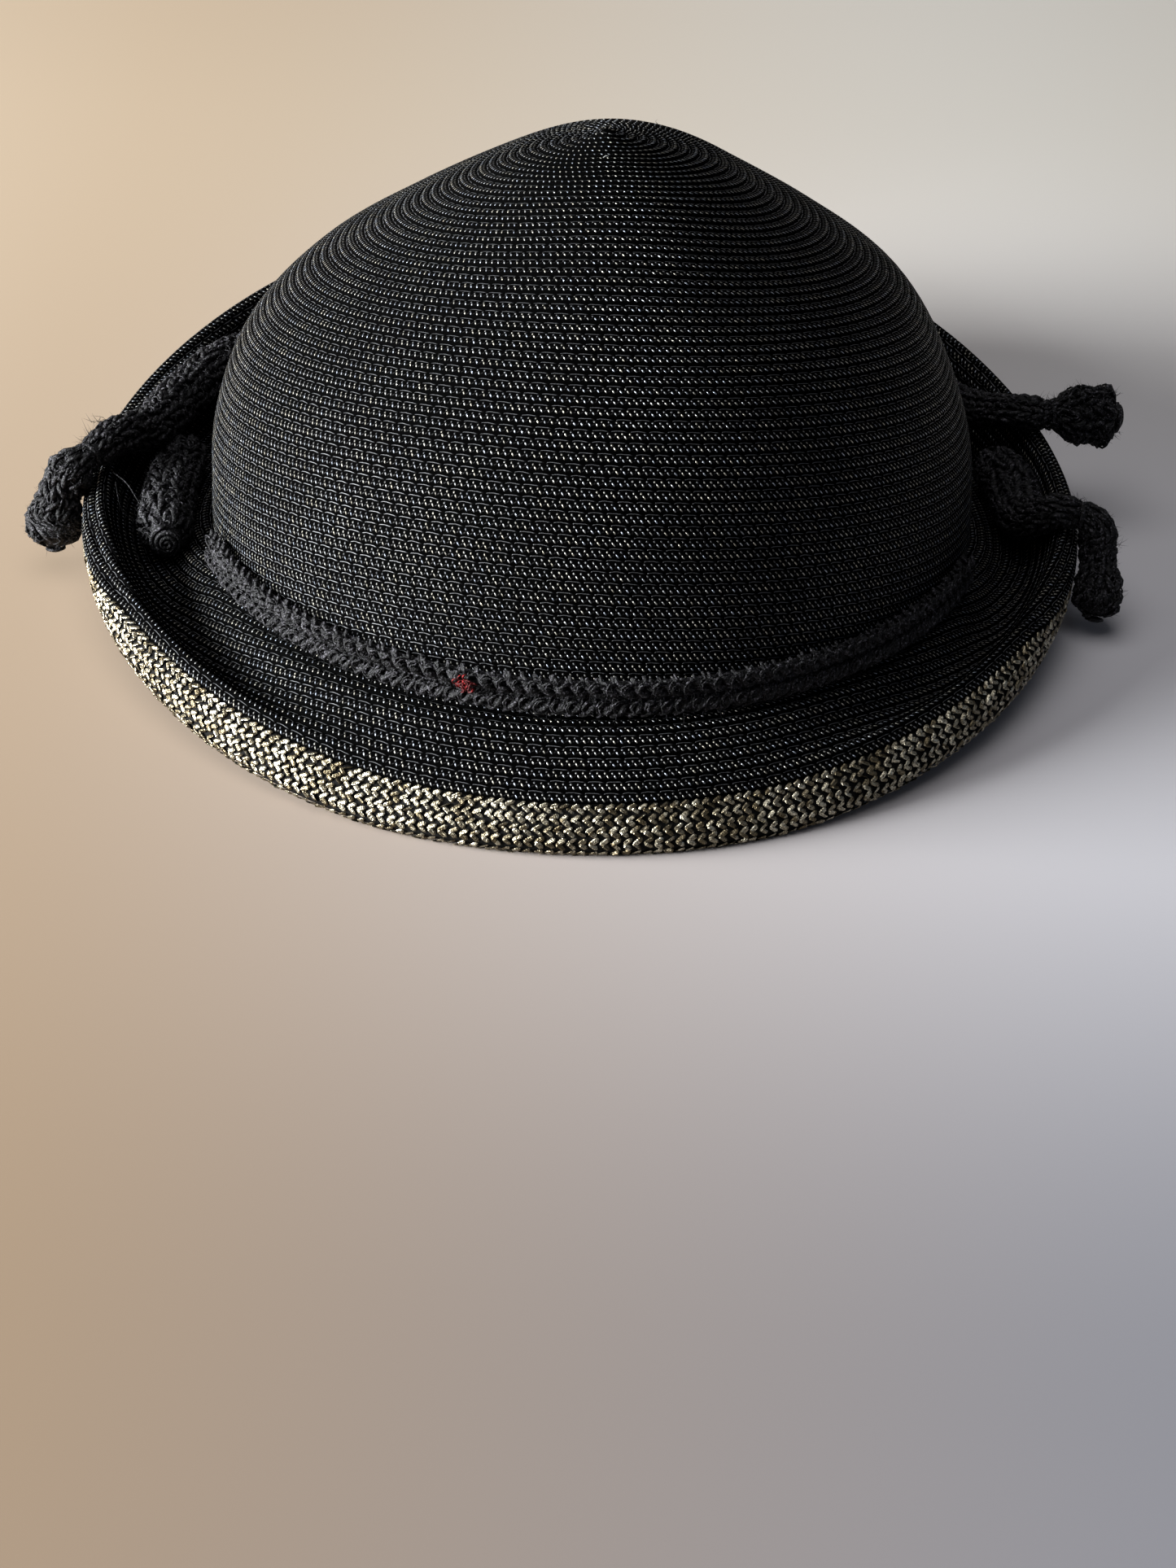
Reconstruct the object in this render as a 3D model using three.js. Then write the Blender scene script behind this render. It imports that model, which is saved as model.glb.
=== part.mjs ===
// A small domed straw hat, sewn from narrow braid. Millimetres, +Z up.
// It stands on Z = 0 by itself. Its length runs along Y: the brim dips to the floor at -Y, the near side,
// and is rolled up highest at +Y, the far side. The origin is the middle of its footprint.

import * as THREE from 'three';

// Crown
const crownWidth = 164;
const crownLength = 188;
const crownHeight = 85;
const strawWall = 1.8;
const headLineHeight = 12.7;
const crownShift = 2.4;
const crownLean = THREE.MathUtils.degToRad(4.56);
const crownTip = THREE.MathUtils.degToRad(3.67);

// Brim, up to the outside of its edge
const brimWidth = 214;
const brimLength = 225;
const brimSideHeight = 18.8;
const brimFarHeight = 31.6;
const edgeWall = 1.8;

// Crocheted band at the foot of the crown
const bandHeight = 8.2;
const bandThickness = 3.8;
const bandMidHeight = 5;
const bandFirstAngle = 200;
const bandLastAngle = 340;
const bandEndSize = 0.35;
const bandRounding = 0.6;

// Crocheted cords that lie in the brim, and their knotted ends
const cordRadius = 5;
const fingerRadius = 5.6;
const knobRadius = 5.8;

const seam = 0.3;
const around = 70;
const braidColour = 0x0b0c10;
const yarnColour = 0x100e11;
const goldColour = 0x9a8650;

// Crown sections from the tip to the head line: rise as a share of crownHeight,
// long and wide as shares of half the length and half the width, lean and back as shares of the width
// and the length, by which the section is moved to +X and +Y.
const crownSections = [
  { rise: 1.000, long: 0.000, wide: 0.000, lean: 0.004, back: 0.020 },
  { rise: 0.983, long: 0.086, wide: 0.046, lean: 0.010, back: 0.010 },
  { rise: 0.972, long: 0.179, wide: 0.098, lean: 0.016, back: 0.002 },
  { rise: 0.933, long: 0.347, wide: 0.249, lean: 0.019, back: -0.004 },
  { rise: 0.854, long: 0.516, wide: 0.409, lean: 0.015, back: -0.008 },
  { rise: 0.748, long: 0.667, wide: 0.601, lean: 0.012, back: -0.007 },
  { rise: 0.621, long: 0.815, wide: 0.784, lean: 0.007, back: -0.003 },
  { rise: 0.458, long: 0.928, wide: 0.911, lean: -0.003, back: 0.000 },
  { rise: 0.259, long: 0.980, wide: 0.984, lean: -0.002, back: 0.002 },
  { rise: 0.106, long: 0.996, wide: 0.997, lean: 0.000, back: 0.000 },
  { rise: 0.000, long: 1.000, wide: 1.000, lean: 0.000, back: 0.000 },
];

// Brim folds from the crown outwards, one table for each side. reach is a share of the overhang.
// A fold's height is head of the way up to the head line, and otherwise lift of the section's height.
const brimFolds = {
  near: [
    { reach: 0.24, head: 0.96, lift: 0.00 },
    { reach: 0.36, head: 0.84, lift: 0.00 },
    { reach: 0.48, head: 0.71, lift: 0.00 },
    { reach: 0.57, head: 0.61, lift: 0.00 },
    { reach: 0.65, head: 0.52, lift: 0.00 },
    { reach: 0.71, head: 0.41, lift: 0.00 },
  ],
  side: [
    { reach: 0.11, head: 0.75, lift: 0.40 },
    { reach: 0.31, head: 0.00, lift: 0.39 },
    { reach: 0.60, head: 0.00, lift: 0.38 },
    { reach: 0.78, head: 0.00, lift: 0.68 },
    { reach: 0.87, head: 0.00, lift: 0.98 },
    { reach: 0.93, head: 0.00, lift: 0.90 },
  ],
  far: [
    { reach: 0.10, head: 0.65, lift: 0.00 },
    { reach: 0.27, head: 0.00, lift: 0.00 },
    { reach: 0.50, head: 0.00, lift: 0.00 },
    { reach: 0.69, head: 0.00, lift: 0.30 },
    { reach: 0.78, head: 0.00, lift: 0.78 },
    { reach: 0.83, head: 0.00, lift: 0.97 },
  ],
};

// Folds of the metallic edge, which starts where the brim ends and rolls over and under
const edgeFolds = {
  near: [
    { reach: 0.84, head: 0.28, lift: 0.00 },
    { reach: 0.94, head: 0.15, lift: 0.00 },
    { reach: 0.99, head: 0.04, lift: 0.00 },
    { reach: 0.96, head: 0.00, lift: 0.00 },
    { reach: 0.88, head: 0.00, lift: 0.00 },
  ],
  side: [
    { reach: 0.97, head: 0.00, lift: 0.90 },
    { reach: 0.99, head: 0.00, lift: 0.77 },
    { reach: 0.98, head: 0.00, lift: 0.64 },
    { reach: 0.96, head: 0.00, lift: 0.52 },
    { reach: 0.92, head: 0.00, lift: 0.42 },
  ],
  far: [
    { reach: 0.90, head: 0.00, lift: 1.00 },
    { reach: 0.97, head: 0.00, lift: 0.95 },
    { reach: 1.00, head: 0.00, lift: 0.87 },
    { reach: 0.99, head: 0.00, lift: 0.79 },
    { reach: 0.96, head: 0.00, lift: 0.72 },
  ],
};

// The near and far sides lie flat on the floor up to this share of the way round to them
const flatShare = 0.93;
const sideSpread = 1.7;
// What comes this close to the floor is pressed flat on it
const pressed = 0.06;

// Routes of the cords, hand chosen, in the hat's own axes before it is centred.
// girth is a share of the radius that each cord is given below.
const farCordRoute = [
  { x: -106.0, y: -1.6, z: 23.6, girth: 0.66 },
  { x: -102.0, y: 5.0, z: 24.6, girth: 0.76 },
  { x: -95.8, y: 15.0, z: 21.8, girth: 0.92 },
  { x: -91.0, y: 33.0, z: 20.0, girth: 1.00 },
  { x: -82.0, y: 52.0, z: 20.0, girth: 1.00 },
  { x: -58.5, y: 77.0, z: 14.0, girth: 0.94 },
  { x: -31.0, y: 93.8, z: 8.4, girth: 0.84 },
  { x: 2.4, y: 99.5, z: 7.0, girth: 0.82 },
  { x: 35.0, y: 93.4, z: 8.4, girth: 0.84 },
  { x: 62.0, y: 76.0, z: 13.4, girth: 0.92 },
  { x: 80.0, y: 54.0, z: 16.0, girth: 0.92 },
  { x: 89.0, y: 37.5, z: 20.2, girth: 0.74 },
  { x: 97.0, y: 28.5, z: 24.6, girth: 0.66 },
  { x: 104.8, y: 26.0, z: 25.4, girth: 0.66 },
];
const leftFingerRoute = [
  { x: -88.2, y: 21.0, z: 13.8, girth: 0.40 },
  { x: -88.4, y: 19.0, z: 13.9, girth: 0.74 },
  { x: -89.0, y: 12.0, z: 14.2, girth: 0.90 },
  { x: -89.6, y: 1.0, z: 14.5, girth: 0.98 },
  { x: -89.4, y: -11.0, z: 14.7, girth: 1.00 },
  { x: -88.4, y: -18.0, z: 15.0, girth: 0.96 },
  { x: -87.8, y: -22.0, z: 15.0, girth: 0.62 },
];
const rightFingerRoute = [
  { x: 91.5, y: 25.0, z: 13.8, girth: 0.42 },
  { x: 92.6, y: 22.0, z: 14.1, girth: 0.80 },
  { x: 95.0, y: 12.0, z: 14.8, girth: 0.93 },
  { x: 95.8, y: 0.0, z: 15.2, girth: 0.93 },
  { x: 96.6, y: -9.0, z: 18.0, girth: 0.76 },
  { x: 102.4, y: -13.8, z: 23.0, girth: 0.57 },
  { x: 106.6, y: -14.8, z: 22.6, girth: 0.53 },
];
const leftKnobRoute = [
  { x: -107.9, y: -3.4, z: 23.2, girth: 0.46 },
  { x: -110.0, y: -5.0, z: 21.4, girth: 0.84 },
  { x: -112.0, y: -6.4, z: 18.4, girth: 0.72 },
  { x: -113.0, y: -7.6, z: 15.0, girth: 0.80 },
  { x: -113.8, y: -8.6, z: 11.4, girth: 1.00 },
  { x: -114.0, y: -9.4, z: 7.8, girth: 0.84 },
  { x: -114.0, y: -9.8, z: 6.0, girth: 0.40 },
];
const upperKnobRoute = [
  { x: 106.3, y: 26.0, z: 25.4, girth: 0.56 },
  { x: 107.8, y: 26.2, z: 25.3, girth: 0.84 },
  { x: 110.4, y: 26.8, z: 25.0, girth: 1.06 },
  { x: 114.0, y: 27.4, z: 24.6, girth: 1.00 },
  { x: 117.0, y: 27.8, z: 24.2, girth: 1.12 },
  { x: 118.6, y: 28.0, z: 24.0, girth: 0.60 },
];
const lowerKnobRoute = [
  { x: 108.4, y: -15.2, z: 22.2, girth: 0.44 },
  { x: 110.2, y: -16.0, z: 20.2, girth: 0.66 },
  { x: 110.6, y: -17.0, z: 16.6, girth: 0.70 },
  { x: 111.2, y: -18.4, z: 13.2, girth: 0.66 },
  { x: 111.4, y: -20.4, z: 9.8, girth: 0.92 },
  { x: 111.2, y: -22.0, z: 6.6, girth: 0.86 },
  { x: 111.0, y: -22.6, z: 4.6, girth: 0.40 },
];

const halfWidth = crownWidth / 2;
const halfLength = crownLength / 2;
const hat = new THREE.Group();

// A ring is a list of points, and a ring of one point closes an end. Joins each ring to the next.
function loft(rings, endless = false) {
  const starts = [];
  const places = [];
  for (const ring of rings) {
    starts.push(places.length / 3);
    for (const p of ring) places.push(p.x, p.y, p.z);
  }
  const faces = [];
  const steps = endless ? rings.length : rings.length - 1;
  for (let k = 0; k < steps; k++) {
    const next = (k + 1) % rings.length;
    const n = Math.max(rings[k].length, rings[next].length);
    const at = (r, j) => starts[r] + (rings[r].length === 1 ? 0 : j % n);
    for (let j = 0; j < n; j++) {
      if (rings[k].length > 1) faces.push(at(k, j), at(k, j + 1), at(next, j));
      if (rings[next].length > 1) faces.push(at(k, j + 1), at(next, j + 1), at(next, j));
    }
  }
  const geometry = new THREE.BufferGeometry();
  geometry.setAttribute('position', new THREE.Float32BufferAttribute(places, 3));
  geometry.setIndex(volume(places, faces) < 0 ? faces.reverse() : faces);
  geometry.computeVertexNormals();
  return geometry;
}

// Six times the volume that faces enclose, negative when they point inwards
function volume(places, faces) {
  const corner = (i) => new THREE.Vector3(places[3 * i], places[3 * i + 1], places[3 * i + 2]);
  let sum = 0;
  for (let i = 0; i < faces.length; i += 3) {
    sum += corner(faces[i]).dot(corner(faces[i + 1]).cross(corner(faces[i + 2])));
  }
  return sum;
}

function addMesh(name, geometry, color, roughness, metalness) {
  const mesh = new THREE.Mesh(geometry, new THREE.MeshStandardMaterial({ color, roughness, metalness }));
  mesh.name = name;
  hat.add(mesh);
}

// From the crown's own axes, with its head line level at Z = 0, to where the crown leans on the brim
function leaned(x, y, z) {
  const p = new THREE.Vector3(x + crownShift, y, z);
  p.applyAxisAngle(new THREE.Vector3(1, 0, 0), -crownLean);
  p.z += headLineHeight;
  return p;
}

// Offsets a grid of points, rows[k][j] with j going round, along its surface normals
function offset(rows, distance) {
  const n = rows[0].length;
  return rows.map((row, k) => row.map((p, j) => {
    const across = new THREE.Vector3().subVectors(
      rows[Math.min(k + 1, rows.length - 1)][j], rows[Math.max(k - 1, 0)][j]);
    const along = new THREE.Vector3().subVectors(row[(j + 1) % n], row[(j + n - 1) % n]);
    return p.clone().addScaledVector(across.cross(along).normalize(), distance);
  }));
}

// Crown: one dome of braid, hollow and open at the head line. Its sections tip back by up to crownTip
const crownSteps = 14;
const crownCurve = new THREE.CatmullRomCurve3(
  crownSections.map((s) => new THREE.Vector3(s.long, s.wide, s.rise)), false, 'centripetal');
const moveCurve = new THREE.CatmullRomCurve3(
  crownSections.map((s) => new THREE.Vector3(s.lean, s.back, s.rise)), false, 'centripetal');
const crownRows = crownCurve.getSpacedPoints(crownSteps);
const crownMoves = crownRows.map((row, k) => moveCurve.getPoint(crownCurve.getUtoTmapping(k / crownSteps)));

function crownPoint(k, angle, gap = 0, drop = 0) {
  const x = (halfWidth * crownRows[k].y + gap) * Math.cos(angle) + crownWidth * crownMoves[k].x;
  const y = (halfLength * crownRows[k].x + gap) * Math.sin(angle) + crownLength * crownMoves[k].y;
  return leaned(x, y, (crownHeight - y * Math.tan(crownTip)) * crownRows[k].z - drop);
}

function crownRing(k, gap = 0) {
  return Array.from({ length: around }, (_, j) => crownPoint(k, 2 * Math.PI * j / around, gap));
}

const crownOutside = [];
for (let k = 1; k <= crownSteps; k++) crownOutside.push(crownRing(k));
const crownInside = offset(crownOutside, -strawWall);
const crownFoot = crownInside.length - 1;
crownInside[crownFoot] = crownRing(crownSteps, -strawWall);
const crownRings = [
  [crownPoint(0, 0)],
  ...crownOutside,
  ...crownInside.toReversed(),
  [crownPoint(0, 0, 0, strawWall)],
];
addMesh('crown', loft(crownRings), braidColour, 0.35, 0);

// Brim and edge: a point at an angle, a share of the way from the crown's foot to the brim's outline
function overhang(angle, reach, z) {
  const foot = leaned(halfWidth * Math.cos(angle), halfLength * Math.sin(angle), 0);
  return new THREE.Vector3(
    THREE.MathUtils.lerp(foot.x, brimWidth / 2 * Math.cos(angle), reach),
    THREE.MathUtils.lerp(foot.y, brimLength / 2 * Math.sin(angle), reach), z);
}

// The middle of the braid's thickness just under the crown's foot
function headHeight(angle, wall) {
  const foot = leaned(halfWidth * Math.cos(angle), halfLength * Math.sin(angle), 0);
  return foot.z - seam - wall / 2;
}

// The place of one table row at an angle: the near, side and far folds mixed by how far round it is
function fold(tables, row, angle, wall) {
  const turn = THREE.MathUtils.clamp(Math.sin(angle) / flatShare, -1, 1);
  const far = Math.max(0, turn) ** sideSpread;
  const near = Math.max(0, -turn) ** sideSpread;
  const share = { near, side: 1 - near - far, far };
  const height = { near: 0, side: brimSideHeight, far: brimFarHeight };
  const top = headHeight(angle, wall);
  let reach = 0;
  let z = 0;
  for (const side of ['near', 'side', 'far']) {
    const { reach: out, head, lift } = tables[side][row];
    const low = wall / 2 + lift * Math.max(0, height[side] - wall / 2);
    reach += share[side] * out;
    z += share[side] * (head * top + (1 - head) * low);
  }
  return overhang(angle, reach, z);
}

// One smooth profile from inside the crown's wall, over the brim's folds and round the edge
function foldProfile(angle) {
  const inner = leaned(
    (halfWidth - strawWall) * Math.cos(angle), (halfLength - strawWall) * Math.sin(angle), 0);
  const curve = new THREE.CatmullRomCurve3([
    new THREE.Vector3(inner.x, inner.y, headHeight(angle, strawWall)),
    ...brimFolds.near.map((_, row) => fold(brimFolds, row, angle, strawWall)),
    ...edgeFolds.near.map((_, row) => fold(edgeFolds, row, angle, edgeWall)),
  ], false, 'centripetal');
  const seamAt = brimFolds.near.length / (brimFolds.near.length + edgeFolds.near.length);
  const profile = [];
  for (let i = 0; i <= brimSteps; i++) profile.push(curve.getPoint(seamAt * i / brimSteps));
  for (let i = 1; i <= edgeSteps; i++) {
    profile.push(curve.getPoint(THREE.MathUtils.lerp(seamAt, 1, i / edgeSteps)));
  }
  profile.forEach((p, k) => { p.z = Math.max(p.z, (k <= brimSteps ? strawWall : edgeWall) / 2); });
  return profile;
}

const brimSteps = 10;
const edgeSteps = 6;
const profiles = Array.from({ length: around }, (_, j) => foldProfile(2 * Math.PI * j / around));
const foldRows = profiles[0].map((_, k) => profiles.map((profile) => profile[k]));

// The wall of even thickness around the rows from first to last, with its first row moved on by a gap
function wallOf(first, last, wall, gap) {
  const side = (distance) => {
    const rows = offset(foldRows, distance).slice(first, last + 1);
    rows[0] = rows[0].map((p, j) => {
      const way = new THREE.Vector3().subVectors(foldRows[first + 1][j], foldRows[first][j]);
      return p.addScaledVector(way.normalize(), gap);
    });
    for (const p of rows.flat()) if (p.z < pressed) p.z = 0;
    return rows;
  };
  return loft([...side(wall / 2), ...side(-wall / 2).toReversed()], true);
}

addMesh('brim', wallOf(0, brimSteps, strawWall, 0), braidColour, 0.35, 0);
addMesh('edge_braid', wallOf(brimSteps, foldRows.length - 1, edgeWall, seam), goldColour, 0.3, 0.9);

// Band: a flat crocheted strip round the near half of the crown's foot, with rounded ends
function bandRing(angle, size) {
  const foot = (out, up) => leaned(
    (halfWidth + out) * Math.cos(angle), (halfLength + out) * Math.sin(angle), bandMidHeight + up);
  const sides = 10;
  const ring = [];
  for (let j = 0; j < sides; j++) {
    const turn = 2 * Math.PI * (j + 0.5) / sides;
    const square = Math.max(Math.abs(Math.cos(turn)), Math.abs(Math.sin(turn))) ** bandRounding;
    const out = seam + bandThickness / 2 * (1 + size * Math.cos(turn) / square);
    ring.push(foot(Math.min(out, seam + bandThickness), bandHeight / 2 * size * Math.sin(turn) / square));
  }
  return ring;
}

const bandSteps = 34;
const roundedSteps = 3;
const bandRings = [];
for (let i = 0; i <= bandSteps; i++) {
  const angle = THREE.MathUtils.degToRad(
    THREE.MathUtils.lerp(bandFirstAngle, bandLastAngle, i / bandSteps));
  const fromEnd = Math.min(i, bandSteps - i, roundedSteps) / roundedSteps;
  bandRings.push(bandRing(angle, THREE.MathUtils.lerp(bandEndSize, 1, Math.sin(fromEnd * Math.PI / 2))));
}
const middleOf = (ring) => [ring.reduce((sum, p) => sum.add(p), new THREE.Vector3()).divideScalar(ring.length)];
addMesh('base_band', loft([middleOf(bandRings[0]), ...bandRings, middleOf(bandRings.at(-1))]),
  yarnColour, 0.9, 0);

// A crocheted cord or knob: round sections of changing girth along a smooth route
function cordGeometry(route, radius, steps, sides) {
  const curve = new THREE.CatmullRomCurve3(route.map((p) => new THREE.Vector3(p.x, p.y, p.z)));
  const girths = new THREE.CatmullRomCurve3(route.map((p, i) => new THREE.Vector3(i, p.girth, 0)));
  const rings = [];
  const up = new THREE.Vector3(0, 0, 1);
  const level = new THREE.Vector3(1, 0, 0);
  const steep = 0.8;
  for (let i = 0; i <= steps; i++) {
    const middle = curve.getPoint(i / steps);
    const along = curve.getTangent(i / steps);
    const aside = new THREE.Vector3().crossVectors(along, Math.abs(along.z) > steep ? level : up).normalize();
    const over = new THREE.Vector3().crossVectors(aside, along);
    const r = radius * girths.getPoint(i / steps).y;
    const ring = [];
    for (let j = 0; j < sides; j++) {
      const turn = 2 * Math.PI * j / sides;
      ring.push(middle.clone().addScaledVector(aside, r * Math.cos(turn))
        .addScaledVector(over, r * Math.sin(turn)));
    }
    rings.push(ring);
  }
  return loft([middleOf(rings[0]), ...rings, middleOf(rings.at(-1))]);
}

const cordSides = 10;
const cords = [
  { name: 'far_cord', route: farCordRoute, radius: cordRadius, steps: 44 },
  { name: 'left_finger', route: leftFingerRoute, radius: fingerRadius, steps: 12 },
  { name: 'right_finger', route: rightFingerRoute, radius: fingerRadius, steps: 14 },
  { name: 'left_knob', route: leftKnobRoute, radius: knobRadius, steps: 12 },
  { name: 'upper_right_knob', route: upperKnobRoute, radius: knobRadius, steps: 10 },
  { name: 'lower_right_knob', route: lowerKnobRoute, radius: knobRadius, steps: 12 },
];
for (const { name, route, radius, steps } of cords) {
  addMesh(name, cordGeometry(route, radius, steps, cordSides), yarnColour, 0.95, 0);
}

// The middle of the footprint goes to the origin
const box = new THREE.Box3().setFromObject(hat);
hat.position.set(-(box.min.x + box.max.x) / 2, -(box.min.y + box.max.y) / 2, -box.min.z);

export default hat;
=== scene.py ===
"""Looks of a small black straw hat with a rolled metallic edge, a crocheted band and knotted cord ends."""

import math

import bmesh
import bpy
import numpy as np
from mathutils import Matrix, Vector


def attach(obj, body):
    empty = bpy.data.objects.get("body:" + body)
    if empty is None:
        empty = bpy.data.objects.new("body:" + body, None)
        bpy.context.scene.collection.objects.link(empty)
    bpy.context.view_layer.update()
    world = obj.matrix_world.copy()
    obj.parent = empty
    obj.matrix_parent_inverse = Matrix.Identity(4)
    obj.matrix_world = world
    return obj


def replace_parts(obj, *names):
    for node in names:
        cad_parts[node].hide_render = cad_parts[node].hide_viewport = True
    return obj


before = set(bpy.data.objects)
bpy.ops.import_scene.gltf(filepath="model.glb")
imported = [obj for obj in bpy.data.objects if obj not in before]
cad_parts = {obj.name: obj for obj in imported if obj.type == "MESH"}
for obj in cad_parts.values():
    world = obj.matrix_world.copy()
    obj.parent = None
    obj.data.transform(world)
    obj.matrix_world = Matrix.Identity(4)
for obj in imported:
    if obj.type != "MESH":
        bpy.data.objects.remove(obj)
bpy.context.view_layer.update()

# Sizes, in metres, in the hat's own axes, and where those lie in the frame
CENTRING = np.array([0.0000343, -0.0001647, 0.0])
CROWN_WIDTH, CROWN_LENGTH, CROWN_HEIGHT = 0.164, 0.188, 0.085
WALL = 0.0018
HEAD_LINE, CROWN_SHIFT, CROWN_LEAN, CROWN_TIP = 0.0127, 0.0024, math.radians(4.56), math.radians(3.67)
BRIM_WIDTH, BRIM_LENGTH = 0.214, 0.225
SIDE_HEIGHT, FAR_HEIGHT = 0.0188, 0.0316
SEAM = 0.0003
BAND_HEIGHT, BAND_MIDDLE = 0.0082, 0.005
BAND_ANGLES = (200, 340)
CORD, FINGER, KNOB = 0.005, 0.0056, 0.0058
FLAT_SHARE, SIDE_SPREAD = 0.93, 1.7

# Braid: width of a row that shows, and length of a stitch
ROW, STITCH = 0.00226, 0.0014
GOLD_ROW, GOLD_STITCH = 0.00222, 0.0021

# The metallic rows begin at the brim's seam within NEAR_SPAN degrees of the near middle, and TURN_SPAN degrees
# further round they begin CREST_SHIFT past it
NEAR_SPAN, TURN_SPAN, CREST_SHIFT = 52, 34, 0.0046

# A metallic strand: half its length, half its width, thickness as a share of width, and how it is tilted at random
STRAND_REACH, STRAND_WIDTH, STRAND_FLAT, STRAND_TILT = 0.00084, 0.00050, 0.34, 0.30

# Straw strands as ovals: middle in stitches along and rows across, slant in degrees, half lengths in millimetres
LOWER_STRAND = ((0.5, 0.68), 54, 0.48, 0.20)
UPPER_STRANDS = ((0.10, 0.37), 60, 0.31, 0.24), ((1.10, 0.37), 60, 0.31, 0.24)
CROSSED_STRANDS = ((1.0, 0.66), -48, 0.44, 0.22), ((0.0, 0.66), -48, 0.44, 0.22)

# Sewing thread: stitches in a lap, where it lies in shares of the row, how far it rises there, and half its width
THREAD_LAP, THREAD_LINE, THREAD_RISE, THREAD_EDGES = 2.6, 0.17, 0.10, (0.020, 0.055)

# Crochet: columns round a cord, radius of a ply on a cord and on the band, spacing of the stitches, and the
# thinner yarn of the curls and fibres
CORD_COLUMNS, CORD_PLY, CORD_PITCH, KNOT_PITCH = 7, 0.00055, 0.0026, 0.0024
BAND_PLIES, BAND_PLY, BAND_PITCH = 4, 0.00042, 0.0029
CORD_CURL, BAND_CURL, RED_CURL, FIBRE, TUFT_FIBRE = 0.00022, 0.00020, 0.00018, 0.000055, 0.00006

# The red yarn end: share of the band's length, and share of half its height
RED_PLACE = (0.392, 0.25)

# Colours, most as a pair that is mixed
STRAW_DARK = (0.0014, 0.0012, 0.0011), (0.009, 0.0082, 0.0088)
# Painted glints: the bright cool and warm colours put on the strand tops where light would glint on the black straw
STRAW_PAINTED_GLINT = (0.42, 0.47, 0.56), (0.58, 0.54, 0.44)
# Painted shade: the near-black of the pits between the strands, where the strands shade each other
STRAW_PAINTED_PIT_SHADE = (0.0003, 0.0003, 0.0003)
SEWING_THREAD = (0.074, 0.075, 0.079)
METAL = (0.11, 0.088, 0.052), (0.52, 0.48, 0.37)
METAL_LINES = (0.055, 0.040, 0.022)
BACKING_CLOTH = (0.0003, 0.0003, 0.0003), (0.0026, 0.0020, 0.0014)
# Each yarn's second colour, its lighter streaks, is partly the fibres' own tone and partly painted sheen on the
# plies
BLACK_WOOL_AND_SHEEN = (0.0005, 0.0004, 0.0005), (0.078, 0.073, 0.084)
RED_WOOL_AND_SHEEN = (0.04, 0.0006, 0.001), (0.30, 0.003, 0.005)
PALE_LINT = (0.45, 0.44, 0.42), (0.75, 0.74, 0.72)
# Floor colours, left and right at each distance: the paper's tint with painted light, darker near the camera as
# painted shade, lighter far off and right of the middle where painted light lifts the hat's shadow
FLOOR_FAR_WITH_PAINTED_LIGHT = (0.322, 0.25, 0.176), (0.395, 0.37, 0.333)
FLOOR_MIDDLE_WITH_PAINTED_LIGHT = (0.245, 0.184, 0.128), (0.50, 0.485, 0.50)
FLOOR_NEAR_WITH_PAINTED_SHADE = (0.180, 0.125, 0.076), (0.15, 0.152, 0.17)
FLOOR_CLOUD = (0.36, 0.33, 0.31)

# Lamps: name, place, what it faces, size, power and colour
LAMPS = (
    ("window", (-1.27, -0.30, 0.34), (0, 0, 0.04), (0.9, 0.6), 130, (0.95, 0.98, 1.0)),
    ("ceiling", (-0.2, -0.1, 1.6), (0, 0, 0), (1.5, 1.5), 14, (0.97, 0.97, 1.0)),
    ("sky", (1.1, -0.45, 0.5), (0, 0, 0.03), (0.5, 0.5), 0.6, (0.45, 0.65, 1.0)),
)
WORLD_COLOUR, WORLD_STRENGTH = (0.80, 0.80, 0.84, 1), 0.09

# rise, long, wide, lean and back of the crown's sections, from the tip to the head line
CROWN_SECTIONS = np.array([
    (1.000, 0.000, 0.000, 0.004, 0.020), (0.983, 0.086, 0.046, 0.010, 0.010),
    (0.972, 0.179, 0.098, 0.016, 0.002), (0.933, 0.347, 0.249, 0.019, -0.004),
    (0.854, 0.516, 0.409, 0.015, -0.008), (0.748, 0.667, 0.601, 0.012, -0.007),
    (0.621, 0.815, 0.784, 0.007, -0.003), (0.458, 0.928, 0.911, -0.003, 0.000),
    (0.259, 0.980, 0.984, -0.002, 0.002), (0.106, 0.996, 0.997, 0.000, 0.000),
    (0.000, 1.000, 1.000, 0.000, 0.000),
])

# reach, head and lift of the brim's and the edge's folds, from the crown outwards
NEAR_FOLDS = np.array([
    (0.24, 0.96, 0.00), (0.36, 0.84, 0.00), (0.48, 0.71, 0.00), (0.57, 0.61, 0.00), (0.65, 0.52, 0.00),
    (0.71, 0.41, 0.00), (0.84, 0.28, 0.00), (0.94, 0.15, 0.00), (0.99, 0.04, 0.00), (0.96, 0.00, 0.00),
    (0.88, 0.00, 0.00),
])
SIDE_FOLDS = np.array([
    (0.11, 0.75, 0.40), (0.31, 0.00, 0.39), (0.60, 0.00, 0.38), (0.78, 0.00, 0.68), (0.87, 0.00, 0.98),
    (0.93, 0.00, 0.90), (0.97, 0.00, 0.90), (0.99, 0.00, 0.77), (0.98, 0.00, 0.64), (0.96, 0.00, 0.52),
    (0.92, 0.00, 0.42),
])
FAR_FOLDS = np.array([
    (0.10, 0.65, 0.00), (0.27, 0.00, 0.00), (0.50, 0.00, 0.00), (0.69, 0.00, 0.30), (0.78, 0.00, 0.78),
    (0.83, 0.00, 0.97), (0.90, 0.00, 1.00), (0.97, 0.00, 0.95), (1.00, 0.00, 0.87), (0.99, 0.00, 0.79),
    (0.96, 0.00, 0.72),
])
BRIM_FOLDS = 6

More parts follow.
